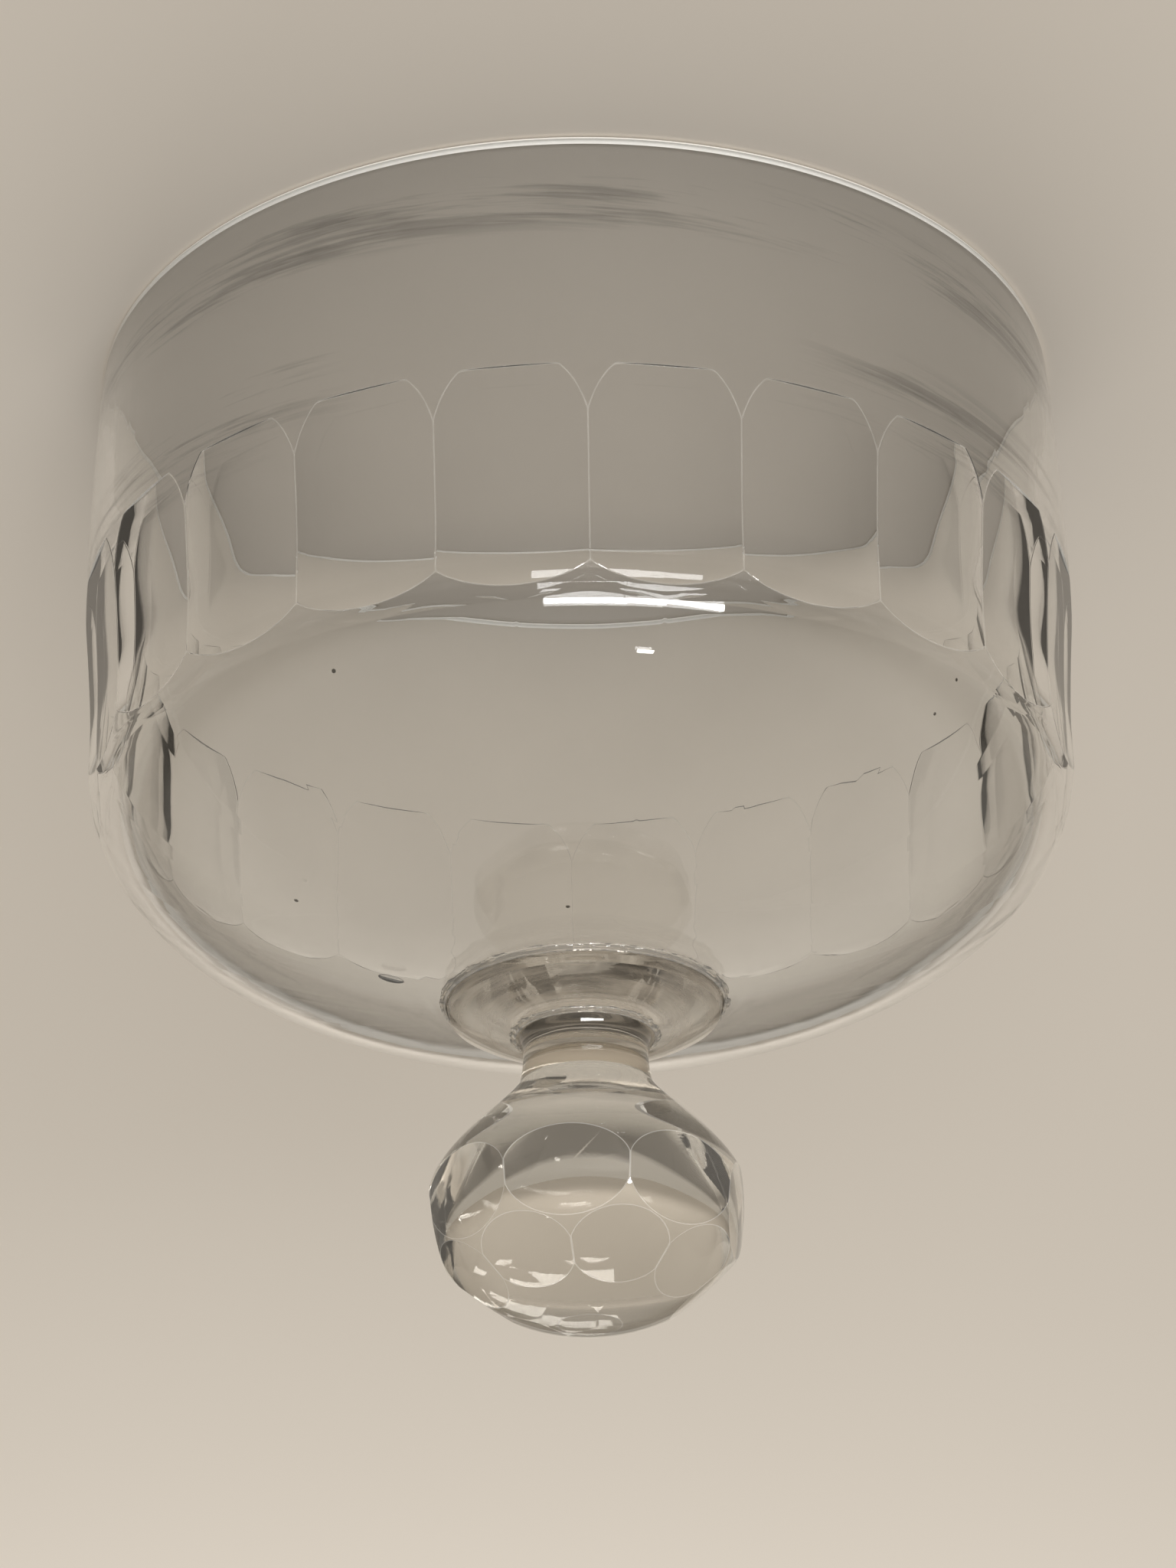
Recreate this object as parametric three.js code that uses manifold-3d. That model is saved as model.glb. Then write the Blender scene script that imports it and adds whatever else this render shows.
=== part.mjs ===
// Crystal cheese dome: a blown glass bell with a ring of tall wheel-cut panels, and on its
// crown a round collar, a short neck and a ball knob cut with facets. It stands on its rim.
// Millimetres. The rim's flat face lies on z = 0 and +Z runs up the axis to the knob.

import * as THREE from 'three';
import { mergeVertices } from 'three/addons/utils/BufferGeometryUtils.js';
import Module from 'manifold-3d';

const wasm = await Module();
wasm.setup();

// Bell, outside: it is widest at the belly and draws in a little to the rim and the shoulder.
// The squareness of the crown's curve is set at the shoulder and at the top
const BELLY_RADIUS = 84.3;
const BELLY_HEIGHT = 42;
const RIM_DRAW = 1.3;
const SHOULDER_DRAW = 0.8;
const SHOULDER_HEIGHT = 63;
const CROWN_HEIGHT = 116;
const SHOULDER_SQUARENESS = 3.08;
const CROWN_SQUARENESS = 1.51;

// Bell, wall
const RIM_WALL = 3;
const BELLY_WALL = 4.6;
const CROWN_WALL = 5;
const RIM_BEVEL = 0.5;

// Panels: flat faces ground into the belly. Each starts at its foot with a shallow lip, eases
// down to its full depth, and runs out into the shoulder's curve
const PANEL_COUNT = 22;
const PANEL_TURN = -1;
const PANEL_DEPTH = 2.5;
const PANEL_FOOT = 43;
const PANEL_LIP = 0.35;
const PANEL_EASE = 26;
const PANEL_EASE_POWER = 1.3;

// Collar on the crown
const SEAT_GAP = 0.3;
const COLLAR_RADIUS = 22.2;
const COLLAR_SPREAD = 0.7;
const COLLAR_EDGE = 2.1;
const COLLAR_THICKNESS = 3;

// Neck, with its waist at a share of its length
const NECK_ROOT_RADIUS = 11.4;
const NECK_WAIST_RADIUS = 10.25;
const NECK_END_RADIUS = 10.95;
const NECK_LENGTH = 8.4;
const NECK_WAIST_SHARE = 0.42;

// Knob: an oblate ball on a flaring shank, with a small flat ground on the ball's end
const KNOB_RADIUS = 26.1;
const KNOB_HALF_HEIGHT = 19.8;
const KNOB_SHANK = 21.2;
const SHANK_FLARE = 1.23;
const KNOB_FLAT_DEPTH = 0.4;
const KNOB_FACETS = 8;
const KNOB_TURN = 8;
const GIRDLE_FACET = { tilt: 6.4, depth: 2.1 };
const END_FACET = { tilt: 48.9, depth: 1.1 };

// Seams: the uneven beads of glass at the foot of the collar and at the root of the neck
const COLLAR_SEAM = { width: 0.9, height: 0.9, waves: 17, waver: 0.12 };
const NECK_SEAM = { width: 0.9, height: 0.8, waves: 11, waver: 0.1 };

// Fineness of the curved faces
const STEPS_PER_PANEL = 4;
const STEM_SEGMENTS = 40;
const SEAM_SEGMENTS = 66;
const OUTER_WALL_STEPS = 6;
const OUTER_CROWN_STEPS = 11;
const INNER_WALL_STEPS = 3;
const INNER_CROWN_STEPS = 9;
const EASE_STEPS = 6;
const COLLAR_STEPS = 4;
const NECK_STEPS = 7;
const SHANK_STEPS = 8;
const BALL_STEPS = 7;

const RIM_RADIUS = BELLY_RADIUS - RIM_DRAW;
const SHOULDER_RADIUS = BELLY_RADIUS - SHOULDER_DRAW;
const PANEL_ANGLE = 2 * Math.PI / PANEL_COUNT;
const FACET_ANGLE = 2 * Math.PI / KNOB_FACETS;
const degrees = THREE.MathUtils.degToRad;
const lerp = THREE.MathUtils.lerp;

// Where each piece sits on the axis
const COLLAR_TOP = CROWN_HEIGHT + SEAT_GAP + COLLAR_THICKNESS;
const COLLAR_EDGE_TOP = crownHeightAt(COLLAR_RADIUS) + SEAT_GAP + COLLAR_EDGE;
const NECK_FOOT = COLLAR_TOP + SEAT_GAP;
const NECK_WAIST = NECK_FOOT + NECK_LENGTH * NECK_WAIST_SHARE;
const NECK_END = NECK_FOOT + NECK_LENGTH;
const KNOB_FOOT = NECK_END + SEAT_GAP;
const KNOB_CENTRE = KNOB_FOOT + KNOB_SHANK;

function glass(opacity, roughness) {
  const color = 0xe3e4de;
  return new THREE.MeshStandardMaterial({ color, opacity, roughness, metalness: 0, transparent: true });
}

// A geometry's shared corners are merged, and the flat triangles on the axis left out
function toSolid(geometry) {
  const bare = geometry.clone();
  bare.deleteAttribute('normal');
  bare.deleteAttribute('uv');
  const merged = mergeVertices(bare);
  const corners = merged.index.array;
  const triangles = [];
  for (let i = 0; i < corners.length; i += 3) {
    const [a, b, c] = corners.slice(i, i + 3);
    if (a !== b && b !== c && c !== a) triangles.push(a, b, c);
  }
  return new wasm.Manifold(new wasm.Mesh({
    numProp: 3,
    vertProperties: new Float32Array(merged.attributes.position.array),
    triVerts: new Uint32Array(triangles),
  }));
}

function toGeometry(solid) {
  const mesh = solid.getMesh();
  const geometry = new THREE.BufferGeometry();
  geometry.setAttribute('position', new THREE.BufferAttribute(mesh.vertProperties, 3));
  geometry.setIndex(new THREE.BufferAttribute(mesh.triVerts, 1));
  geometry.computeVertexNormals();
  return geometry;
}

function point(radius, height) {
  return new THREE.Vector2(radius, height);
}

// Turns a profile of (radius, height) points about the Z axis, from the -Y side round
function turned(profile, segments, turn = 0) {
  return new THREE.LatheGeometry(profile, segments, turn).rotateX(Math.PI / 2);
}

// Bell

function wallRadius(height, rim, belly, shoulder) {
  if (height < BELLY_HEIGHT) return belly - (belly - rim) * (1 - height / BELLY_HEIGHT) ** 2;
  return lerp(belly, shoulder, THREE.MathUtils.smoothstep(height, BELLY_HEIGHT, SHOULDER_HEIGHT));
}

// The crown is a quarter of a superellipse, from the shoulder (share 0) to the axis (share 1)
function crownPoint(share, shoulder, top) {
  const angle = share ** 2 * Math.PI / 2;
  const radius = share === 1 ? 0 : shoulder * Math.cos(angle) ** (2 / CROWN_SQUARENESS);
  return point(radius, lerp(SHOULDER_HEIGHT, top, Math.sin(angle) ** (2 / SHOULDER_SQUARENESS)));
}

function crownHeightAt(radius) {
  const share = (radius / SHOULDER_RADIUS) ** CROWN_SQUARENESS;
  return SHOULDER_HEIGHT + (CROWN_HEIGHT - SHOULDER_HEIGHT) * (1 - share) ** (1 / SHOULDER_SQUARENESS);
}

// Points up one face of the bell, from just over the rim to the axis
function bellFace(rim, belly, shoulder, top, wallSteps, crownSteps) {
  const points = [];
  for (let i = 0; i < wallSteps; i++) {
    const height = lerp(RIM_BEVEL, SHOULDER_HEIGHT, i / wallSteps);
    points.push(point(wallRadius(height, rim, belly, shoulder), height));
  }
  for (let i = 0; i <= crownSteps; i++) points.push(crownPoint(i / crownSteps, shoulder, top));
  return points;
}

function blownBell() {
  const innerRim = RIM_RADIUS - RIM_WALL;
  const outside = bellFace(RIM_RADIUS, BELLY_RADIUS, SHOULDER_RADIUS, CROWN_HEIGHT,
    OUTER_WALL_STEPS, OUTER_CROWN_STEPS);
  const inside = bellFace(innerRim, BELLY_RADIUS - BELLY_WALL, SHOULDER_RADIUS - BELLY_WALL,
    CROWN_HEIGHT - CROWN_WALL, INNER_WALL_STEPS, INNER_CROWN_STEPS);
  const rim = [point(innerRim + RIM_BEVEL, 0), point(RIM_RADIUS - RIM_BEVEL, 0)];
  const profile = [...inside.reverse(), ...rim, ...outside];
  return toSolid(turned(profile, PANEL_COUNT * STEPS_PER_PANEL, degrees(PANEL_TURN)));
}

// One wheel cut: the inner side of its outline is the panel's own face, and it is wide enough
// to meet the cuts beside it
function panelCutter(turn) {
  const face = BELLY_RADIUS - PANEL_DEPTH;
  const outside = BELLY_RADIUS + PANEL_DEPTH;
  const outline = [point(outside, CROWN_HEIGHT), point(outside, PANEL_FOOT)];
  for (let i = 0; i <= EASE_STEPS; i++) {
    const left = (1 - i / EASE_STEPS) ** PANEL_EASE_POWER;
    const radius = lerp(face, BELLY_RADIUS - PANEL_LIP, left);
    outline.push(point(radius, PANEL_FOOT + PANEL_EASE * i / EASE_STEPS));
  }
  outline.push(point(face, CROWN_HEIGHT));
  const width = 2 * outside * Math.tan(PANEL_ANGLE);
  const cutter = new THREE.ExtrudeGeometry(new THREE.Shape(outline), { depth: width, bevelEnabled: false });
  cutter.translate(0, 0, -width / 2);
  const towardsFront = new THREE.Matrix4().makeBasis(
    new THREE.Vector3(0, -1, 0), new THREE.Vector3(0, 0, 1), new THREE.Vector3(-1, 0, 0));
  return toSolid(cutter.applyMatrix4(towardsFront).rotateZ(turn));
}

function bell() {
  let solid = blownBell();
  for (let i = 0; i < PANEL_COUNT; i++) {
    solid = solid.subtract(panelCutter(degrees(PANEL_TURN) + (i + 0.5) * PANEL_ANGLE));
  }
  return toGeometry(solid);
}

// Collar: a low disc whose underside follows the crown and whose top swells up to the neck

const COLLAR_FOOT_RADIUS = COLLAR_RADIUS + COLLAR_SPREAD;

function collarTopAt(radius) {
  const share = (radius - NECK_ROOT_RADIUS) / (COLLAR_RADIUS - NECK_ROOT_RADIUS);
  return lerp(COLLAR_TOP, COLLAR_EDGE_TOP, share ** 2);
}

function collar() {
  const profile = [];
  for (let i = 0; i <= COLLAR_STEPS; i++) {
    const radius = COLLAR_FOOT_RADIUS * i / COLLAR_STEPS;
    profile.push(point(radius, crownHeightAt(radius) + SEAT_GAP));
  }
  for (let i = 0; i <= COLLAR_STEPS; i++) {
    const radius = lerp(COLLAR_RADIUS, NECK_ROOT_RADIUS, i / COLLAR_STEPS);
    profile.push(point(radius, collarTopAt(radius)));
  }
  profile.push(point(0, COLLAR_TOP));
  return toGeometry(toSolid(turned(profile, STEM_SEGMENTS)));
}

// Neck: a stem with a flared root, a waist and a wider end that carries the knob

function neck() {
  const side = new THREE.SplineCurve([
    point(NECK_ROOT_RADIUS, NECK_FOOT),
    point((NECK_ROOT_RADIUS + NECK_WAIST_RADIUS) / 2, (NECK_FOOT + NECK_WAIST) / 2),
    point(NECK_WAIST_RADIUS, NECK_WAIST),
    point(NECK_END_RADIUS, NECK_END),
  ]).getPoints(NECK_STEPS);
  const profile = [point(0, NECK_FOOT), ...side, point(0, NECK_END)];
  return toGeometry(toSolid(turned(profile, STEM_SEGMENTS)));
}

// Knob

function ball() {
  const profile = [point(0, KNOB_FOOT)];
  for (let i = 0; i < SHANK_STEPS; i++) {
    const share = i / SHANK_STEPS;
    const flare = Math.sin(share * Math.PI / 2) ** SHANK_FLARE;
    profile.push(point(lerp(NECK_END_RADIUS, KNOB_RADIUS, flare), KNOB_FOOT + KNOB_SHANK * share));
  }
  for (let i = 0; i < BALL_STEPS; i++) {
    const angle = Math.PI / 2 * i / BALL_STEPS;
    profile.push(point(KNOB_RADIUS * Math.cos(angle), KNOB_CENTRE + KNOB_HALF_HEIGHT * Math.sin(angle)));
  }
  profile.push(point(0, KNOB_CENTRE + KNOB_HALF_HEIGHT));
  return toSolid(turned(profile, STEM_SEGMENTS));
}

// A block whose inner face is the facet's plane, at a distance from the ball's centre
function facetCutter(distance, tilt, turn) {
  const size = 3 * KNOB_RADIUS;
  const block = new THREE.BoxGeometry(size, size, size);
  block.translate(0, -distance - size / 2, 0);
  return toSolid(block.rotateX(-tilt).rotateZ(turn).translate(0, 0, KNOB_CENTRE));
}

// How far the ball reaches from its centre in a direction tilted up from level
function ballReach(tilt) {
  return Math.hypot(KNOB_RADIUS * Math.cos(tilt), KNOB_HALF_HEIGHT * Math.sin(tilt));
}

function facetRow(solid, facet, firstTurn) {
  const tilt = degrees(facet.tilt);
  const distance = ballReach(tilt) - facet.depth;
  for (let i = 0; i < KNOB_FACETS; i++) {
    solid = solid.subtract(facetCutter(distance, tilt, firstTurn + i * FACET_ANGLE));
  }
  return solid;
}

function knob() {
  let solid = facetRow(ball(), GIRDLE_FACET, degrees(KNOB_TURN));
  solid = facetRow(solid, END_FACET, degrees(KNOB_TURN) + FACET_ANGLE / 2);
  return toGeometry(solid.subtract(facetCutter(KNOB_HALF_HEIGHT - KNOB_FLAT_DEPTH, Math.PI / 2, 0)));
}

// A seam is a thin bead, on the surface given by heightAt, whose outer edge wanders in and out
function seam(size, innerRadius, heightAt) {
  const foot = heightAt(innerRadius);
  const bead = turned([
    point(innerRadius, foot),
    point(innerRadius + size.width, heightAt(innerRadius + size.width)),
    point(innerRadius + size.width / 2, foot + size.height * 0.7),
    point(innerRadius, foot + size.height),
    point(innerRadius, foot),
  ], SEAM_SEGMENTS);
  const corner = new THREE.Vector3();
  const position = bead.attributes.position;
  for (let i = 0; i < position.count; i++) {
    corner.fromBufferAttribute(position, i);
    const radius = Math.hypot(corner.x, corner.y);
    const outwards = (radius - innerRadius) / size.width;
    const angle = Math.atan2(corner.y, corner.x);
    const wander = Math.sin(size.waves * angle) + Math.sin((2 * size.waves + 3) * angle) / 2;
    const scale = 1 + outwards * size.waver * size.width * wander / radius;
    position.setXY(i, corner.x * scale, corner.y * scale);
  }
  return toGeometry(toSolid(bead));
}

function collarSeam() {
  return seam(COLLAR_SEAM, COLLAR_FOOT_RADIUS + SEAT_GAP, radius => crownHeightAt(radius) + SEAT_GAP);
}

function neckSeam() {
  return seam(NECK_SEAM, NECK_ROOT_RADIUS + SEAT_GAP, radius => collarTopAt(radius) + SEAT_GAP);
}

const dome = new THREE.Group();

function add(name, geometry, material) {
  const mesh = new THREE.Mesh(geometry, material);
  mesh.name = name;
  dome.add(mesh);
}

add('bell', bell(), glass(0.35, 0.03));
add('collar_seam', collarSeam(), glass(0.7, 0.4));
add('collar', collar(), glass(0.45, 0.04));
add('neck_seam', neckSeam(), glass(0.7, 0.4));
add('neck', neck(), glass(0.45, 0.04));
add('knob', knob(), glass(0.45, 0.03));

export default dome;
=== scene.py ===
"""Crystal cheese dome: a blown glass bell with wheel-cut panels, a collar, a short neck and a
faceted ball knob. Metres, in the CAD's frame: the rim lies on z = 0 and +Z runs up to the knob.
The photograph shows the dome upside down, so its camera is rolled half a turn.
"""
import math

import bmesh
import bpy
from mathutils import Matrix, Vector, noise


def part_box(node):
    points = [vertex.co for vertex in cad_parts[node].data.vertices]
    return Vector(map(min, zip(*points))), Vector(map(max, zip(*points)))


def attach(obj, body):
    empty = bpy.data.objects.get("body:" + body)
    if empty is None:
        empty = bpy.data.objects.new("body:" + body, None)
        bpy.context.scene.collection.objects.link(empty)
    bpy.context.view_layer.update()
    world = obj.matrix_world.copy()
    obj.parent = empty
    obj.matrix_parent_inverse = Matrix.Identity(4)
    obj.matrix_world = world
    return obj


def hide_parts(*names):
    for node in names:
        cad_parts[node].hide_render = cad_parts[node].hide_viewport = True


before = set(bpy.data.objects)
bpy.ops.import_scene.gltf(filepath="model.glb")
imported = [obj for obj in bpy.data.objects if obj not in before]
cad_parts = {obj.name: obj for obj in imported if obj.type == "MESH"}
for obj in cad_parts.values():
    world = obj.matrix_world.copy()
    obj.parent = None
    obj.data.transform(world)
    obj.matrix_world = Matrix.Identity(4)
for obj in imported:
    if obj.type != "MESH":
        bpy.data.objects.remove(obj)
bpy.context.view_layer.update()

MM = 0.001

# The photograph's camera, in its own frame of 1536 x 2048 pixels
PHOTO_HEIGHT = 2048
FOCAL_PIXELS = 5200
SENSOR_MM = 36
CAMERA_PLACE = Vector((3.39, -602.79, 370.91)) * MM
CAMERA_TILT = math.radians(26.26)
CAMERA_HEADING = math.radians(0.43)
CAMERA_ROLL = math.radians(179.02)

# The bell. Its crown's height comes from the frame, and the rest was fitted to the photograph
CROWN_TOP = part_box("bell")[1].z
RIM_RADIUS = 83 * MM
BELLY_RADIUS = 84.3 * MM
BELLY_HEIGHT = 42 * MM
SHOULDER_RADIUS = 83.5 * MM
SHOULDER_HEIGHT = 63 * MM
SHOULDER_SQUARENESS = 3.08
CROWN_SQUARENESS = 1.51
RIM_WALL = 3 * MM
RIM_ROUND = 0.5 * MM
BELLY_WALL = 4.6 * MM
CROWN_WALL = 5 * MM
OUTSIDE = (RIM_RADIUS, BELLY_RADIUS, SHOULDER_RADIUS, CROWN_TOP)
INSIDE = (RIM_RADIUS - RIM_WALL, BELLY_RADIUS - BELLY_WALL, SHOULDER_RADIUS - BELLY_WALL,
          CROWN_TOP - CROWN_WALL)

# The unevenness of its inner wall
DRIFT_DEPTH = 0.14 * MM
WALL_RING_DEPTH = 0.035 * MM
WALL_RINGS_LOW = 5 * MM
WALL_RINGS_HIGH = 18 * MM
CROWN_RING_DEPTH = 0.012 * MM
CROWN_RINGS_RADIUS = 34 * MM
INNER_EYE_RADIUS = 20 * MM

# Its flat panels
PANEL_COUNT = 22
PANEL_ANGLE = 2 * math.pi / PANEL_COUNT
PANEL_TURN = math.radians(-1)
PANEL_DEPTH = 2.5 * MM
PANEL_FACE = BELLY_RADIUS - PANEL_DEPTH
PANEL_FOOT = 43 * MM
PANEL_END = SHOULDER_HEIGHT + (CROWN_TOP - SHOULDER_HEIGHT) * (
    1 - (PANEL_FACE / SHOULDER_RADIUS) ** CROWN_SQUARENESS) ** (1 / SHOULDER_SQUARENESS)
PANEL_LIP = 0.35 * MM
PANEL_EASE = 26 * MM
PANEL_EASE_POWER = 1.3
PANEL_CREASE = math.radians(3.2)
PANEL_MARGIN = 3 * MM
ARRIS_WIDTH = 0.22 * MM
ARRIS_DEPTH = 0.05 * MM
WORN_WIDTH = 0.15 * MM
FAR_FROM_BORDER = 9

# The bell's faces: columns across half a panel, and rows from the inner crown to the outer one
CUT_STEPS = (0, 0.3, 0.6, 0.85)
LAND_STEPS = (0.25, 0.5, 0.75, 1)
INNER_CROWN_ROWS = 110
INNER_WALL_ROWS = 34
INNER_ROWS = INNER_CROWN_ROWS + 1 + INNER_WALL_ROWS
RIM_ROWS = 6
FOOT_ROWS = 24
PANEL_FOOT_ROWS = 14
PANEL_FACE_ROWS = 22
PANEL_END_ROWS = 18
OUTER_CROWN_ROWS = 50

# The collar and the neck. A gap keeps the joined faces from lying in one place
JOINT_GAP = 0.02 * MM
COLLAR_RADIUS = 22.2 * MM
COLLAR_FOOT_RADIUS = 22.9 * MM
COLLAR_EDGE = 2.4 * MM
COLLAR_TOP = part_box("collar")[1].z
NECK_ROOT_RADIUS = 11.4 * MM
NECK_WAIST_RADIUS = 10.25 * MM
NECK_END_RADIUS = 10.95 * MM
NECK_WAIST_SHARE = 0.42
STEM_STEPS = 192
COLLAR_CREASE = math.radians(25)
NECK_CREASE = math.radians(40)
SEAM_STEPS = 360

# The knob
KNOB_RADIUS = 26.1 * MM
KNOB_HALF_HEIGHT = 19.8 * MM
KNOB_SHANK = 21.2 * MM
SHANK_FLARE = 1.23
KNOB_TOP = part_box("knob")[1].z
KNOB_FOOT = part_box("knob")[0].z
KNOB_CENTRE = KNOB_FOOT + KNOB_SHANK
KNOB_STEPS = 256
SHANK_ROWS = 36
DOME_ROWS = 40
KNOB_FACETS = 8
KNOB_TURN = math.radians(8)
GIRDLE_TILT = math.radians(6.4)
GIRDLE_DEPTH = 2.1 * MM
END_TILT = math.radians(48.9)
END_DEPTH = 1.1 * MM
FACET_ROUND = 60 * MM
FACET_RINGS = 12

# Glass
GLASS_INDEX = 1.52
BELL_TINT = (0.965, 0.962, 0.95, 1)
# Painted reflection: the dark shade of the streaks painted on the bell's -Y side
PAINTED_STREAK_REFLECTION = (0.3, 0.3, 0.3, 1)
SPECK_COLOUR = (0.02, 0.018, 0.015, 1)
SCUFFED_COLOUR = (0.93, 0.91, 0.87, 1)
GROUND_DARKER = (0.9, 0.88, 0.83, 1)
GROUND_PALER = (0.98, 0.97, 0.94, 1)
STEM_TINT = (0.78, 0.735, 0.66, 1)
NECK_TINT = (0.6, 0.55, 0.47, 1)
KNOB_TINT = (0.73, 0.695, 0.63, 1)
SEAM_TINT = (0.7, 0.65, 0.57, 1)
COLLAR_CLOUD = (0.64, 0.58, 0.5, 1)
KNOB_CLOUD = (0.22, 0.185, 0.14, 1)

# Dark streaks painted on the bell as painted reflections, in two bands on its -Y side. The two
# bands have a low height, a high height and a softness
FOOT_REFLECTION_STREAKS = (9 * MM, 14 * MM, 4 * MM)
HIP_REFLECTION_STREAKS = (36 * MM, 43 * MM, 6 * MM)
STREAKS_PER_METRE_ACROSS = 22
STREAKS_PER_METRE_UP = 420
STREAK_LEAN = 30
REFLECTION_STREAK_SHARE = 0.72
SMEAR_SHARE = 0.12

# Stage: the sky's (level, colour) stops, and each lamp's name, place, aim, size and watts
FLOOR_COLOUR = (0.6, 0.555, 0.497, 1)
FLOOR_RADIUS = 4.0
FLOOR_DROP = 0.2 * MM
DARK_BAND = (0.12, 0.105, 0.085, 1)
SKY = ((0.035, (0.44, 0.41, 0.36, 1)), (0.065, DARK_BAND), (0.23, DARK_BAND),
       (0.35, (0.42, 0.39, 0.34, 1)), (0.5, (0.63, 0.59, 0.53, 1)))
DOME_MIDDLE = (0, 0, 0.09)
LAMPS = (
    ("tube_left", (-0.03, -1.5, 0.5), DOME_MIDDLE, (0.46, 0.2), 9.0),
    ("tube_middle", (-0.36, -1.46, 0.5), DOME_MIDDLE, (0.21, 0.17), 3.5),
    ("tube_right", (-0.63, -1.38, 0.5), DOME_MIDDLE, (0.36, 0.14), 5.0),
    ("spot_pane", (-0.33, -1.08, 1.2), DOME_MIDDLE, (0.08, 0.05), 0.35))
SOFTBOX = ("back_softbox", (0.05, 1.2, 0.75), (0, 0.6, 0), (0.9, 0.5), 5.6)


def lerp(start, end, share):
    return start + (end - start) * share


def smooth(share):
    share = min(1.0, max(0.0, share))
    return share * share * (3 - 2 * share)


def around(angle, radius, height):
    """A place at an angle from the -Y side, round towards +X."""
    return Vector((radius * math.sin(angle), -radius * math.cos(angle), height))


# Shader maths


class Field:
    """A shader socket's value. Arithmetic on it adds the maths nodes that it needs."""

    def __init__(self, finish, socket):
        self.finish = finish
        self.socket = socket

    def __add__(self, other):
        return self.finish.maths("ADD", self, other)

    __radd__ = __add__

    def __sub__(self, other):
        return self.finish.maths("SUBTRACT", self, other)

    def __rsub__(self, other):
        return self.finish.maths("SUBTRACT", other, self)

    def __mul__(self, other):
        return self.finish.maths("MULTIPLY", self, other)

    __rmul__ = __mul__

    def __abs__(self):
        return self.finish.maths("ABSOLUTE", self, 0)


def set_stops(ramp, stops):
    for stop, (level, colour) in zip(ramp.elements, (stops[0], stops[-1])):
        stop.position = level
        stop.color = colour
    for level, colour in stops[1:-1]:
        ramp.elements.new(level).color = colour


class Finish:
    """A material, or the world, that is put together node by node."""

    def __init__(self, owner, output):
        self.owner = owner
        owner.use_nodes = True
        self.tree = owner.node_tree
        self.tree.nodes.clear()
        self.output = self.tree.nodes.new(output)

    def add(self, kind, settings=None, sockets=None, out=0):
        node = self.tree.nodes.new(kind)
        for name, value in (settings or {}).items():
            if name == "stops":
                set_stops(node.color_ramp, value)
            else:
                setattr(node, name, value)
        for name, value in (sockets or {}).items():
            self.feed(node.inputs[name], value)
        return Field(self, node.outputs[out])

    def feed(self, socket, value):
        if isinstance(value, Field):
            self.tree.links.new(value.socket, socket)
        else:
            socket.default_value = value

    def maths(self, operation, first, second):
        return self.add("ShaderNodeMath", {"operation": operation}, {0: first, 1: second})

    def place(self):
        """The piece's own coordinates."""
        return self.add("ShaderNodeTexCoord", out="Object")

    def along(self, place, axis):
        return self.add("ShaderNodeSeparateXYZ", sockets={0: place}, out=axis)

    def above(self, value, low, high):
        """0 below low, 1 above high."""
        return self.add("ShaderNodeMapRange", {"interpolation_type": "SMOOTHSTEP"},
                        {"Value": value, "From Min": low, "From Max": high})

    def band(self, value, low, high, edge):
        """1 between low and high, falling softly to 0 over an edge's width outside."""
        return self.above(value, low - edge, low) * (1 - self.above(value, high, high + edge))

    def noise(self, place, scale, detail=2.0, rough=0.5):
        return self.add("ShaderNodeTexNoise", {"noise_dimensions": "3D"}, {
            "Vector": place, "Scale": scale, "Detail": detail, "Roughness": rough})

    def speck(self, place, spot, size):
        """1 within a speck's size of its spot."""
        away = self.add("ShaderNodeVectorMath", {"operation": "DISTANCE"},
                        {0: place, 1: spot}, out="Value")
        return 1 - self.above(away, size * 0.6, size)

    def blend(self, share, first, second):
        """A colour between two colours."""
        return self.add("ShaderNodeMix", {"data_type": "RGBA"},
                        {0: share, 6: first, 7: second}, out=2)

    def either(self, share, first, second):
        """A shader between two shaders."""
        return self.add("ShaderNodeMixShader", sockets={0: share, 1: first, 2: second})

    def see_through(self, level=1.0):
        return self.add("ShaderNodeBsdfTransparent", sockets={"Color": (level, level, level, 1)})

    def body(self, colour, roughness, index=GLASS_INDEX, **sockets):
        return self.add("ShaderNodeBsdfPrincipled", sockets={
            "Base Color": colour, "Roughness": roughness, "IOR": index, **sockets})

    def surface(self, shader):
        self.feed(self.output.inputs["Surface"], shader)
        return self.owner


def material(name):
    return Finish(bpy.data.materials.new(name), "ShaderNodeOutputMaterial")


# Finishes


def lit_through(finish, glass, clear, dim):
    """Glass that light reaches the floor through, more dimly where it meets the glass aslant."""
    aslant = finish.add("ShaderNodeLayerWeight", sockets={"Blend": 0.5}, out="Facing")
    shade = finish.either(aslant, finish.see_through(clear), finish.see_through(dim))
    shadow = finish.add("ShaderNodeLightPath", out="Is Shadow Ray")
    lamp_lit = finish.either(shadow, glass, shade)
    scattered = finish.add("ShaderNodeLightPath", out="Is Diffuse Ray")
    return finish.surface(finish.either(scattered, lamp_lit, shade))


def glass(finish, colour, normal, worn, clear=0.95, dim=0.4):
    """Clear glass, of which the worn share is scuffed and scatters light."""
    polished = finish.body(colour, 0.0, **{"Transmission Weight": 1.0, "Normal": normal})
    scuffed = finish.body(SCUFFED_COLOUR, 0.45)
    return lit_through(finish, finish.either(worn, polished, scuffed), clear, dim)


def waves(finish, place, scale, depth):
    """The slight waviness of a blown or hand-worked surface."""
    height = finish.noise(place, scale, 1.5, 0.4)
    return finish.add("ShaderNodeBump", sockets={
        "Strength": 1.0, "Distance": depth, "Height": height})


def clear_glass(name, tint, waviness, worn, wave_scale=90):
    finish = material(name)
    return glass(finish, tint, waves(finish, finish.place(), wave_scale, waviness), worn)


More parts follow.
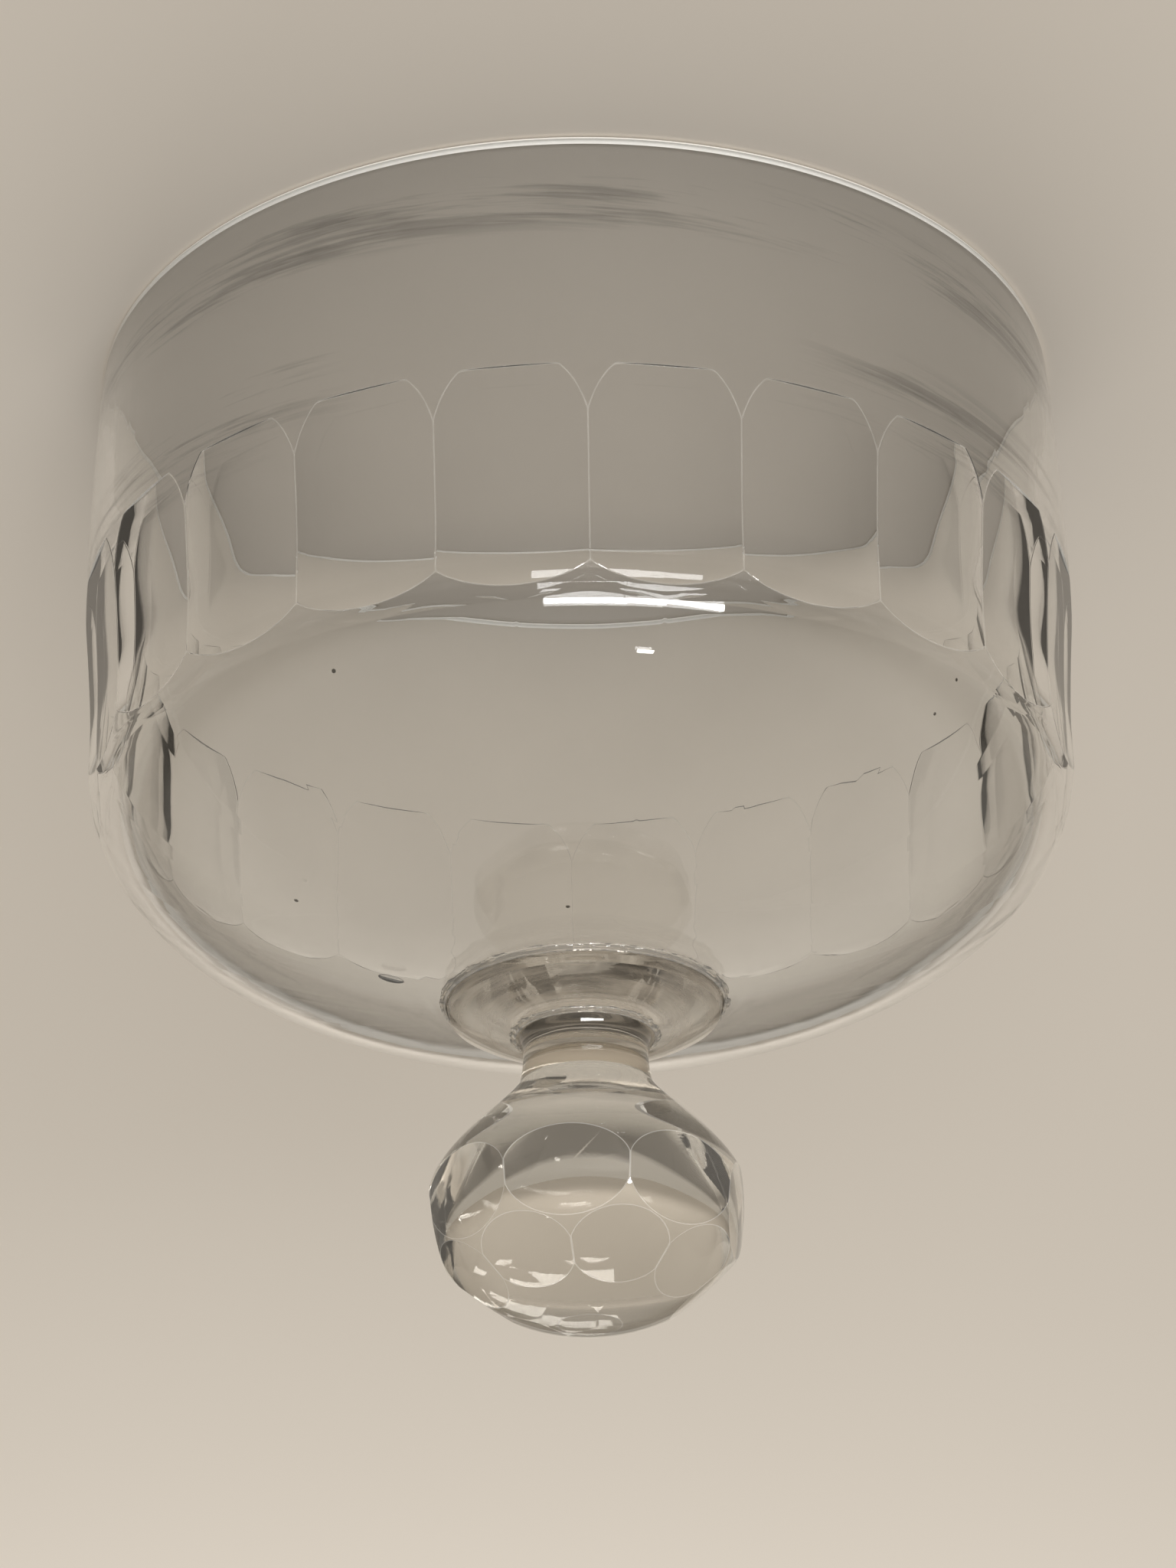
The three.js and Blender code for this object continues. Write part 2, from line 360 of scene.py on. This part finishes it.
def blown_glass():
    """The bell's glass: faintly grey and warm, with dark streaks painted in two bands near its
    foot on its -Y side as painted reflections, a few specks, and a worn line along the panels'
    borders."""
    finish = material("bell_glass")
    place = finish.place()
    x, y, z = (finish.along(place, axis) for axis in "XYZ")
    # Painted reflection: a stretched place for the dark streaks, which are kept to the -Y side
    # and darken the glass's colour
    drawn = finish.add("ShaderNodeCombineXYZ", sockets={
        0: x * STREAKS_PER_METRE_ACROSS, 1: y * STREAKS_PER_METRE_ACROSS,
        2: z * STREAKS_PER_METRE_UP + x * STREAK_LEAN})
    streaks = finish.above(finish.noise(drawn, 1.0, 4.0, 0.62), 0.5, 0.66)
    flank = finish.above(abs(x), 0.03, 0.055)
    bands = finish.band(z, *FOOT_REFLECTION_STREAKS) + finish.band(z, *HIP_REFLECTION_STREAKS) * flank
    near_side = finish.above(y * -1, 0.0, 0.03)
    smear = finish.noise(place, 30, 3.0, 0.6)
    share = streaks * bands * near_side * REFLECTION_STREAK_SHARE + smear * SMEAR_SHARE
    specks = sum((finish.speck(place, spot, size) for spot, size in SPECKS), 0)
    # Painted reflection: the streaks' share darkens the glass towards the streak shade, and the
    # specks go on top
    colour = finish.blend(specks, finish.blend(share, BELL_TINT, PAINTED_STREAK_REFLECTION), SPECK_COLOUR)
    border = finish.add("ShaderNodeAttribute", {"attribute_name": "from_border"}, out="Fac")
    line = 1 - finish.above(abs(border), 0.6, 1.0)
    wear = finish.noise(place, 260, 2.0, 0.6)
    worn = line * (0.02 + wear * 0.2)
    normal = waves(finish, place, 45, 0.05 * MM)
    return glass(finish, colour, normal, worn, clear=0.8, dim=0.38)


def crown_spot(turn, height):
    """A place on the outside of the bell's crown, by its angle from the -Y side in degrees and
    its height in millimetres."""
    share = (height * MM - SHOULDER_HEIGHT) / (CROWN_TOP - SHOULDER_HEIGHT)
    radius = SHOULDER_RADIUS * (1 - share ** SHOULDER_SQUARENESS) ** (1 / CROWN_SQUARENESS)
    return around(math.radians(turn), radius, height * MM)


SPECKS = (
    (crown_spot(28.8, 87.6), 0.45 * MM),
    (crown_spot(62, 105.6), 0.5 * MM),
    (crown_spot(4.5, 111.3), 0.45 * MM),
    (crown_spot(-46.4, 83.7), 0.35 * MM),
    (crown_spot(-45.1, 89.1), 0.35 * MM))


def ground_rim():
    """The flat foot, ground but not polished, so it is milky."""
    finish = material("ground_rim")
    grain = finish.noise(finish.place(), 900, 3.0, 0.6)
    return finish.surface(finish.body(finish.blend(grain, GROUND_DARKER, GROUND_PALER), 0.6))


def fused_joint():
    """Where two gathers of glass ran together: there is no surface left to see."""
    finish = material("fused_joint")
    return finish.surface(finish.see_through())


def cloudy_joint(name, colour, rings):
    """A joint of hot glass pressed together, left a little cloudy in rings."""
    finish = material(name)
    place = finish.place()
    flat = finish.add("ShaderNodeVectorMath", {"operation": "MULTIPLY"}, {0: place, 1: (1, 1, 0)})
    radius = finish.add("ShaderNodeVectorMath", {"operation": "LENGTH"}, {0: flat}, out="Value")
    ringed = finish.add("ShaderNodeCombineXYZ", sockets={
        0: radius * rings, 1: finish.along(place, "X") * 60, 2: finish.along(place, "Y") * 60})
    cloud = finish.above(finish.noise(ringed, 1.0, 4.0, 0.6), 0.3, 0.75)
    cloudy = finish.body(colour, 0.6, 1.1)
    return finish.surface(finish.either(cloud * 0.5 + 0.08, finish.see_through(), cloudy))


def floor_finish():
    finish = material("studio_floor")
    return finish.surface(finish.add("ShaderNodeBsdfPrincipled", sockets={
        "Base Color": FLOOR_COLOUR, "Roughness": 0.9}))


# Meshes


def spun(profile, steps):
    """Turns a profile of (radius, height) points about the axis."""
    turned = bmesh.new()
    corners = [turned.verts.new(around(0, radius, height)) for radius, height in profile]
    edges = [turned.edges.new(pair) for pair in zip(corners, corners[1:])]
    bmesh.ops.spin(turned, geom=corners + edges, cent=(0, 0, 0), axis=(0, 0, 1),
                   dvec=(0, 0, 0), angle=2 * math.pi, steps=steps, use_merge=True)
    bmesh.ops.remove_doubles(turned, verts=turned.verts, dist=1e-6)
    for face in turned.faces:
        face.smooth = True
    return turned


def sharpen(turned, limit, where=lambda edge: True):
    """Edges that bend by more than the limit stay crisp."""
    for edge in turned.edges:
        if len(edge.link_faces) == 2 and edge.calc_face_angle() > limit and where(edge):
            edge.smooth = False


def paint_faces(turned, inside, index=1):
    """Faces for which inside(centre) is true take another of the piece's materials."""
    for face in turned.faces:
        if inside(face.calc_center_median()):
            face.material_index = index


def finished_piece(name, shape, materials, node, hollow=None):
    """A piece of the object. A hollow's faces already face into it, so it is joined on after
    the outer faces have been turned outwards."""
    bmesh.ops.recalc_face_normals(shape, faces=shape.faces)
    if hollow:
        inner = bpy.data.meshes.new("hollow")
        hollow.to_mesh(inner)
        hollow.free()
        shape.from_mesh(inner)
        bpy.data.meshes.remove(inner)
    mesh = bpy.data.meshes.new(name)
    shape.to_mesh(mesh)
    shape.free()
    for finish in materials:
        mesh.materials.append(finish)
    piece = bpy.data.objects.new(name, mesh)
    bpy.context.scene.collection.objects.link(piece)
    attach(piece, "root")
    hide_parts(node)


# Bell


def crown_height(radius, shoulder=SHOULDER_RADIUS, top=CROWN_TOP):
    share = (radius / shoulder) ** CROWN_SQUARENESS
    return lerp(SHOULDER_HEIGHT, top, max(0.0, 1 - share) ** (1 / SHOULDER_SQUARENESS))


def wall_radius(height, rim, belly, shoulder, top):
    if height < BELLY_HEIGHT:
        return belly - (belly - rim) * (1 - height / BELLY_HEIGHT) ** 2
    if height < SHOULDER_HEIGHT:
        share = (height - BELLY_HEIGHT) / (SHOULDER_HEIGHT - BELLY_HEIGHT)
        return lerp(belly, shoulder, smooth(share))
    share = (height - SHOULDER_HEIGHT) / (top - SHOULDER_HEIGHT)
    return shoulder * (1 - share ** SHOULDER_SQUARENESS) ** (1 / CROWN_SQUARENESS)


def panel_reach(height):
    """How far from the axis a panel's face lies at a height."""
    left = (1 - min(1.0, (height - PANEL_FOOT) / PANEL_EASE)) ** PANEL_EASE_POWER
    return lerp(PANEL_FACE, BELLY_RADIUS - PANEL_LIP, left)


def cut_angle(height):
    """The angle from a panel's middle to where its face leaves the bell's curve."""
    if height >= PANEL_END:
        return 0.0
    height = max(height, PANEL_FOOT)
    ratio = panel_reach(height) / wall_radius(height, *OUTSIDE)
    return min(PANEL_ANGLE / 2, math.acos(min(1.0, ratio)))


def evenly(start, end, count):
    return [lerp(start, end, i / count) for i in range(count)]


def crown_rows(side, start, count):
    """(radius, height) points up a crown, from a height to the axis."""
    shoulder, top = side[2:]
    share = (start - SHOULDER_HEIGHT) / (top - SHOULDER_HEIGHT)
    first = math.asin(share ** (SHOULDER_SQUARENESS / 2))
    points = []
    for i in range(count + 1):
        angle = lerp(first, math.pi / 2, i / count)
        radius = shoulder * max(0.0, math.cos(angle)) ** (2 / CROWN_SQUARENESS)
        points.append((0.0 if i == count else radius, crown_height(radius, shoulder, top)))
    return points


def bell_rows():
    """Rows of (radius, height, cut) from the inner crown round the rim to the outer crown.
    Where cut is true the row follows the panels' faces."""
    shoulder_start = SHOULDER_HEIGHT + 6 * MM
    inner = [(wall_radius(height, *INSIDE), height)
             for height in evenly(RIM_ROUND, shoulder_start, INNER_WALL_ROWS)]
    inner += crown_rows(INSIDE, shoulder_start, INNER_CROWN_ROWS)
    rows = [(radius, height, False) for radius, height in reversed(inner)]
    for centre, turn in ((RIM_RADIUS - RIM_WALL + RIM_ROUND, -1), (RIM_RADIUS - RIM_ROUND, 1)):
        for i in range(1, RIM_ROWS + 1):
            angle = math.pi / 2 * ((i if turn < 0 else RIM_ROWS + 1 - i) / RIM_ROWS)
            radius = centre + turn * RIM_ROUND * math.cos(angle)
            rows.append((radius, RIM_ROUND * (1 - math.sin(angle)), False))
    plain = evenly(RIM_ROUND, PANEL_FOOT, FOOT_ROWS) + [PANEL_FOOT]
    corner = PANEL_FOOT + 6 * MM
    bend = PANEL_END - 8 * MM
    cut = evenly(PANEL_FOOT, corner, PANEL_FOOT_ROWS) + evenly(corner, bend, PANEL_FACE_ROWS)
    cut += [PANEL_END - (PANEL_END - bend) * (1 - i / PANEL_END_ROWS) ** 2
            for i in range(PANEL_END_ROWS + 1)]
    cut += [PANEL_END + step * MM for step in (0.1, 0.3, 0.6)]
    for heights, is_cut in ((plain, False), (cut, True)):
        rows += [(wall_radius(height, *OUTSIDE), height, is_cut) for height in heights]
    crown = crown_rows(OUTSIDE, cut[-1], OUTER_CROWN_ROWS)[1:]
    return rows + [(radius, height, False) for radius, height in crown]


def panel_offsets(edge):
    """Angles of the columns from a panel's middle to halfway to the next panel's. The panel is
    cut as far as the edge, and beside it there is a narrow arris on both sides."""
    arris = ARRIS_WIDTH / BELLY_RADIUS
    cut_end = max(0.0, edge - arris)
    land_start = min(edge + arris, PANEL_ANGLE / 2)
    return ([share * cut_end for share in CUT_STEPS] + [cut_end, edge, land_start]
            + [lerp(land_start, PANEL_ANGLE / 2, share) for share in LAND_STEPS])


def inner_ripple(angle, height):
    """The blown inner wall isn't quite true, and near the rim it has faint rings."""
    at = Vector((math.cos(angle), math.sin(angle), height * 22))
    drift = noise.noise(at * 2.3) * DRIFT_DEPTH
    fade = 4 * MM
    spread = smooth((height - WALL_RINGS_LOW) / fade) * smooth((WALL_RINGS_HIGH - height) / fade)
    rings = math.sin(height * 1500 + 2 * noise.noise(at * 3))
    return (drift + spread * WALL_RING_DEPTH * rings) * smooth((height - RIM_ROUND) / fade)


def crown_ripple(angle, radius):
    """Turned rings under the crown, where the gather was opened on the iron."""
    at = Vector((math.cos(angle), math.sin(angle), 0)) * radius * 40
    rings = math.sin(radius * 1700 + 1.5 * noise.noise(at))
    rings += 0.6 * math.sin(radius * 2900 + 2 * noise.noise(at * 1.7))
    spread = smooth((CROWN_RINGS_RADIUS - radius) / (12 * MM)) * smooth(radius / (3 * MM))
    return CROWN_RING_DEPTH * rings * spread


def panel_clearance(off, height):
    """How far outside the bell's curve a panel's face lies, at an angle from its middle."""
    face = panel_reach(max(height, PANEL_FOOT))
    return face - wall_radius(height, *OUTSIDE) * math.cos(off)


def from_border(off, height, cut):
    """How far a point of the outside is from the nearest border of a panel, as a share of the
    worn line's half width. It is negative inside the panel."""
    if not cut:
        beside = BELLY_RADIUS * max(0.0, off - cut_angle(PANEL_FOOT))
        return math.hypot(PANEL_FOOT - height, beside) / WORN_WIDTH
    step = 0.02 * MM
    across = wall_radius(height, *OUTSIDE) * math.sin(off) / BELLY_RADIUS
    up = (panel_clearance(off, height + step) - panel_clearance(off, height - step)) / (2 * step)
    away = panel_clearance(off, height) / max(0.02, math.hypot(across, up))
    if away < 0:
        away = -min(-away, BELLY_RADIUS * (PANEL_ANGLE / 2 - off), height - PANEL_FOOT)
    return away / WORN_WIDTH


def blown_bell():
    rows = bell_rows()
    half = len(panel_offsets(0)) - 1
    columns = 2 * half * PANEL_COUNT
    grid = bmesh.new()
    bmesh.ops.create_grid(grid, x_segments=columns, y_segments=len(rows) - 1, size=1)
    grid.verts.ensure_lookup_table()
    border = grid.verts.layers.float.new("from_border")
    for row, (radius, height, cut) in enumerate(rows):
        edge = cut_angle(height)
        offsets = panel_offsets(edge)
        inner = row < INNER_ROWS
        by_panels = row > INNER_ROWS and (
            PANEL_FOOT - PANEL_MARGIN < height < PANEL_END + PANEL_MARGIN)
        for column in range(columns + 1):
            panel, step = divmod(column, 2 * half)
            side = step - half
            off = offsets[abs(side)]
            angle = PANEL_TURN + (panel + 0.5) * PANEL_ANGLE + math.copysign(off, side)
            reach = radius
            lift = 0.0
            if cut:
                reach = min(radius, panel_reach(height) / math.cos(off))
                if off == edge:
                    reach -= ARRIS_DEPTH * min(1.0, 4 * edge / PANEL_ANGLE)
            if inner and height > RIM_ROUND and radius > INNER_EYE_RADIUS:
                reach += inner_ripple(angle, height)
            if inner and height > SHOULDER_HEIGHT:
                lift = crown_ripple(angle, radius)
            corner = grid.verts[row * (columns + 1) + column]
            corner.co = around(angle, reach, height + lift)
            corner[border] = from_border(off, height, cut) if by_panels else FAR_FROM_BORDER
    bmesh.ops.remove_doubles(grid, verts=grid.verts, dist=2e-6)
    bmesh.ops.dissolve_degenerate(grid, edges=grid.edges, dist=2e-6)
    for face in grid.faces:
        face.smooth = True
        if max(corner.co.z for corner in face.verts) <= RIM_ROUND * 1.01:
            face.material_index = 2
    sharpen(grid, PANEL_CREASE, lambda edge: all(
        PANEL_FOOT - MM < corner.co.z < PANEL_END + PANEL_MARGIN
        and corner.co.xy.length > PANEL_FACE - MM for corner in edge.verts))
    paint_faces(grid, lambda centre: (
        centre.xy.length < COLLAR_FOOT_RADIUS and centre.z > CROWN_TOP - CROWN_WALL / 2))
    return grid


def seed_bubble():
    """An oval bubble of air that was trapped in the crown's wall, as a hollow in the glass."""
    spot = crown_spot(81.4, 111.6)
    inward = Vector((-spot.x, -spot.y, -0.05)).normalized()
    outward = Vector((spot.x * 0.6, spot.y * 0.6, 0.055)).normalized()
    lean = Vector((0, 0, 1)).rotation_difference(outward)
    middle = spot + Vector((0, 0, -1.6 * MM)) + inward * 0.4 * MM
    hollow = bmesh.new()
    bmesh.ops.create_uvsphere(hollow, u_segments=32, v_segments=16, radius=1)
    bmesh.ops.scale(hollow, vec=(2.2 * MM, 1.3 * MM, 0.55 * MM), verts=hollow.verts)
    bmesh.ops.transform(hollow, matrix=Matrix.Translation(middle) @ lean.to_matrix().to_4x4(),
                        verts=hollow.verts)
    bmesh.ops.reverse_faces(hollow, faces=hollow.faces)
    for face in hollow.faces:
        face.smooth = True
    return hollow


# Collar and neck


def collar_top(radius):
    share = (radius - NECK_ROOT_RADIUS) / (COLLAR_RADIUS - NECK_ROOT_RADIUS)
    edge_height = crown_height(COLLAR_RADIUS) + COLLAR_EDGE
    return lerp(COLLAR_TOP, edge_height, max(0.0, share) ** 2)


def collar():
    under = []
    for i in range(25):
        radius = COLLAR_FOOT_RADIUS * i / 24
        under.append((radius, crown_height(radius) + JOINT_GAP))
    foot, foot_height = under[-1]
    edge_height = collar_top(COLLAR_RADIUS)
    side = [(lerp(foot, COLLAR_RADIUS, i / 4), lerp(foot_height, edge_height, i / 4))
            for i in range(1, 5)]
    over = []
    for i in range(1, 21):
        radius = lerp(COLLAR_RADIUS, NECK_ROOT_RADIUS, i / 20)
        over.append((radius, collar_top(radius)))
    disc = spun(under + side + over + [(0, COLLAR_TOP)], STEM_STEPS)
    sharpen(disc, COLLAR_CREASE)
    paint_faces(disc, lambda centre: (
        centre.z < crown_height(centre.xy.length) + 2 * JOINT_GAP))
    paint_faces(disc, lambda centre: (
        centre.xy.length < NECK_ROOT_RADIUS and centre.z > COLLAR_TOP - MM), 2)
    return disc


def neck():
    foot = COLLAR_TOP + JOINT_GAP
    end = KNOB_FOOT - JOINT_GAP
    side = []
    for i in range(33):
        share = i / 32
        if share < NECK_WAIST_SHARE:
            short = 1 - share / NECK_WAIST_SHARE
            radius = lerp(NECK_WAIST_RADIUS, NECK_ROOT_RADIUS, short ** 2)
        else:
            past = (share - NECK_WAIST_SHARE) / (1 - NECK_WAIST_SHARE)
            radius = lerp(NECK_WAIST_RADIUS, NECK_END_RADIUS, past ** 2)
        side.append((radius, lerp(foot, end, share)))
    stem = spun([(0, foot)] + side + [(0, end)], STEM_STEPS)
    sharpen(stem, NECK_CREASE)
    paint_faces(stem, lambda centre: (
        centre.xy.length < NECK_WAIST_RADIUS * 0.99
        and not foot + JOINT_GAP < centre.z < end - JOINT_GAP))
    return stem


# Knob


def turned_ball():
    profile = [(0, KNOB_FOOT)]
    for i in range(SHANK_ROWS):
        share = i / SHANK_ROWS
        flare = math.sin(share * math.pi / 2) ** SHANK_FLARE
        radius = lerp(NECK_END_RADIUS, KNOB_RADIUS, flare)
        profile.append((radius, KNOB_FOOT + KNOB_SHANK * share))
    for i in range(DOME_ROWS):
        angle = math.pi / 2 * i / DOME_ROWS
        height = KNOB_CENTRE + KNOB_HALF_HEIGHT * math.sin(angle)
        profile.append((KNOB_RADIUS * math.cos(angle), height))
    profile.append((0, KNOB_CENTRE + KNOB_HALF_HEIGHT))
    return spun(profile, KNOB_STEPS)


def facet_cuts():
    """(direction, distance from the knob's centre) of each facet, and of the flat on the end."""
    cuts = []
    for tilt, depth, offset in ((GIRDLE_TILT, GIRDLE_DEPTH, 0), (END_TILT, END_DEPTH, 0.5)):
        across = KNOB_RADIUS * math.cos(tilt)
        up = KNOB_HALF_HEIGHT * math.sin(tilt)
        for i in range(KNOB_FACETS):
            turn = KNOB_TURN + (i + offset) * 2 * math.pi / KNOB_FACETS
            facing = around(turn, math.cos(tilt), math.sin(tilt))
            cuts.append((facing, math.hypot(across, up) - depth))
    return cuts + [(Vector((0, 0, 1)), KNOB_TOP - KNOB_CENTRE)]


def merge_corners(ball, apart):
    """Merges corners that nearly meet. The cuts leave the corners in no set order, so they are
    put in order by place first. Then each run merges the same ones."""
    order = {corner: i for i, corner in enumerate(sorted(ball.verts, key=lambda c: c.co[:]))}
    ball.verts.sort(key=order.get)
    bmesh.ops.remove_doubles(ball, verts=ball.verts, dist=apart)


def dome_facet(ball, facet):
    """Polishing has left a facet a little domed: rings of faces that rise to its middle."""
    centre = facet.calc_center_median()
    facing = facet.normal.copy()
    reach = sum((corner.co - centre).length for corner in facet.verts) / len(facet.verts)
    rise = reach ** 2 / (2 * FACET_ROUND)
    for edge in facet.edges:
        edge.smooth = False
    start = facing * WORN_WIDTH * reach / FACET_ROUND
    bmesh.ops.translate(ball, vec=start, verts=facet.verts)
    centre += start
    step = 1 / FACET_RINGS
    for ring in range(1, FACET_RINGS):
        share = 1 - ring / FACET_RINGS
        shrink = share / (share + step)
        facet = bmesh.ops.extrude_discrete_faces(ball, faces=[facet])["faces"][0]
        bmesh.ops.scale(ball, vec=(shrink, shrink, shrink), space=Matrix.Translation(-centre),
                        verts=facet.verts)
        lift = facing * (rise * ((share + step) ** 2 - share ** 2))
        bmesh.ops.translate(ball, vec=lift, verts=facet.verts)
        centre += lift
        for edge in facet.edges:
            for face in edge.link_faces:
                face.smooth = True
    for face in bmesh.ops.poke(ball, faces=[facet], offset=rise / FACET_RINGS ** 2)["faces"]:
        face.smooth = True


def knob():
    ball = turned_ball()
    bmesh.ops.recalc_face_normals(ball, faces=ball.faces)
    for facing, reach in facet_cuts():
        cut = bmesh.ops.bisect_plane(
            ball, geom=ball.verts[:] + ball.edges[:] + ball.faces[:], dist=1e-7,
            plane_co=Vector((0, 0, KNOB_CENTRE)) + facing * reach, plane_no=facing,
            clear_outer=True)
        outline = [part for part in cut["geom_cut"] if isinstance(part, bmesh.types.BMEdge)]
        for face in bmesh.ops.contextual_create(ball, geom=outline)["faces"]:
            face.smooth = False
            for edge in face.edges:
                edge.smooth = False
    merge_corners(ball, 0.03 * MM)
    facets = [face for face in ball.faces if not face.smooth]
    worn = bmesh.ops.inset_individual(ball, faces=facets, thickness=WORN_WIDTH,
                                      use_even_offset=True)
    for face in worn["faces"]:
        face.material_index = 2
    for facet in facets:
        dome_facet(ball, facet)
    paint_faces(ball, lambda centre: centre.z < KNOB_FOOT + JOINT_GAP / 2)
    return ball


# Seams


def seam(inner, width, height, foot, shift):
    """A thin bead whose outer edge wanders in and out, as drawn glass does."""
    profile = [(inner, foot(inner))]
    for i in range(9):
        angle = math.pi / 2 * i / 8
        radius = inner + width * math.cos(angle)
        profile.append((radius, foot(radius) + height * math.sin(angle)))
    profile.append((inner, foot(inner)))
    bead = spun(profile, SEAM_STEPS)
    for corner in bead.verts:
        radius = corner.co.xy.length
        angle = math.atan2(corner.co.y, corner.co.x)
        at = Vector((math.cos(angle), math.sin(angle), 0)) * 9 + Vector((shift, 0, 0))
        wander = noise.noise(at) + 0.6 * noise.noise(at * 3.1)
        push = 1 + 0.55 * wander * (radius - inner) / radius
        corner.co.x *= push
        corner.co.y *= push
    return bead


def collar_seam():
    return seam(COLLAR_FOOT_RADIUS + JOINT_GAP, width=0.9 * MM, height=0.9 * MM,
                foot=lambda radius: crown_height(radius) + JOINT_GAP, shift=3)


def neck_seam():
    return seam(NECK_ROOT_RADIUS + JOINT_GAP, width=0.9 * MM, height=0.8 * MM,
                foot=lambda radius: collar_top(radius) + JOINT_GAP, shift=7)


# Stage


def lamp(name, place, aim, size, power):
    data = bpy.data.lights.new(name, "AREA")
    data.shape = "RECTANGLE"
    data.size, data.size_y = size
    data.energy = power
    light = bpy.data.objects.new(name, data)
    light.location = place
    light.rotation_euler = (Vector(aim) - Vector(place)).to_track_quat("-Z", "Y").to_euler()
    light.visible_camera = False
    bpy.context.scene.collection.objects.link(light)
    return light


def studio_floor():
    ground = bmesh.new()
    bmesh.ops.create_circle(ground, cap_ends=True, segments=96, radius=FLOOR_RADIUS)
    mesh = bpy.data.meshes.new("studio_floor")
    ground.to_mesh(mesh)
    ground.free()
    mesh.materials.append(floor_finish())
    floor = bpy.data.objects.new("studio_floor", mesh)
    bpy.context.scene.collection.objects.link(floor)
    floor.location.z = -FLOOR_DROP


def surroundings():
    """A soft sky that is pale low down and high up, with a darker band between."""
    world = bpy.data.worlds.new("studio")
    bpy.context.scene.world = world
    finish = Finish(world, "ShaderNodeOutputWorld")
    height = finish.along(finish.add("ShaderNodeTexCoord", out="Generated"), "Z")
    shade = finish.add("ShaderNodeValToRGB", {"stops": SKY}, {0: height})
    finish.surface(finish.add("ShaderNodeBackground", sockets={"Color": shade, "Strength": 1.0}))


def photo_camera():
    data = bpy.data.cameras.new("photo_camera")
    data.sensor_width = SENSOR_MM
    data.lens = FOCAL_PIXELS / PHOTO_HEIGHT * SENSOR_MM
    camera = bpy.data.objects.new("photo_camera", data)
    camera.matrix_world = (
        Matrix.Translation(CAMERA_PLACE)
        @ Matrix.Rotation(CAMERA_HEADING, 4, "Z")
        @ Matrix.Rotation(math.pi / 2 - CAMERA_TILT, 4, "X")
        @ Matrix.Rotation(CAMERA_ROLL, 4, "Z"))
    bpy.context.scene.collection.objects.link(camera)
    bpy.context.scene.camera = camera


photo_camera()
studio_floor()
surroundings()
for settings in LAMPS:
    lamp(*settings)
softbox = lamp(*SOFTBOX)
softbox.visible_glossy = False
softbox.visible_transmission = False

joint = fused_joint()
bell_glass = blown_glass()
collar_joint = cloudy_joint("collar_joint", COLLAR_CLOUD, rings=420)
knob_joint = cloudy_joint("knob_joint", KNOB_CLOUD, rings=900)
stem_glass = clear_glass("stem_glass", STEM_TINT, waviness=0.02 * MM, worn=0.01)
knob_glass = clear_glass("knob_glass", KNOB_TINT, waviness=0.01 * MM, worn=0.03)
worn_glass = clear_glass("worn_knob_edge", KNOB_TINT, waviness=0.01 * MM, worn=0.24)
neck_glass = clear_glass("neck_glass", NECK_TINT, waviness=0.02 * MM, worn=0.01)
seam_glass = clear_glass("seam_glass", SEAM_TINT, waviness=0.2 * MM, worn=0.1, wave_scale=380)

finished_piece("cut_bell", blown_bell(), [bell_glass, joint, ground_rim()], "bell",
               seed_bubble())
finished_piece("merese_collar", collar(), [stem_glass, collar_joint, joint], "collar")
finished_piece("waisted_neck", neck(), [neck_glass, joint], "neck")
finished_piece("faceted_knob", knob(), [knob_glass, knob_joint, worn_glass], "knob")
finished_piece("collar_bead", collar_seam(), [seam_glass], "collar_seam")
finished_piece("neck_bead", neck_seam(), [seam_glass], "neck_seam")

bpy.context.scene.view_settings.view_transform = "Standard"
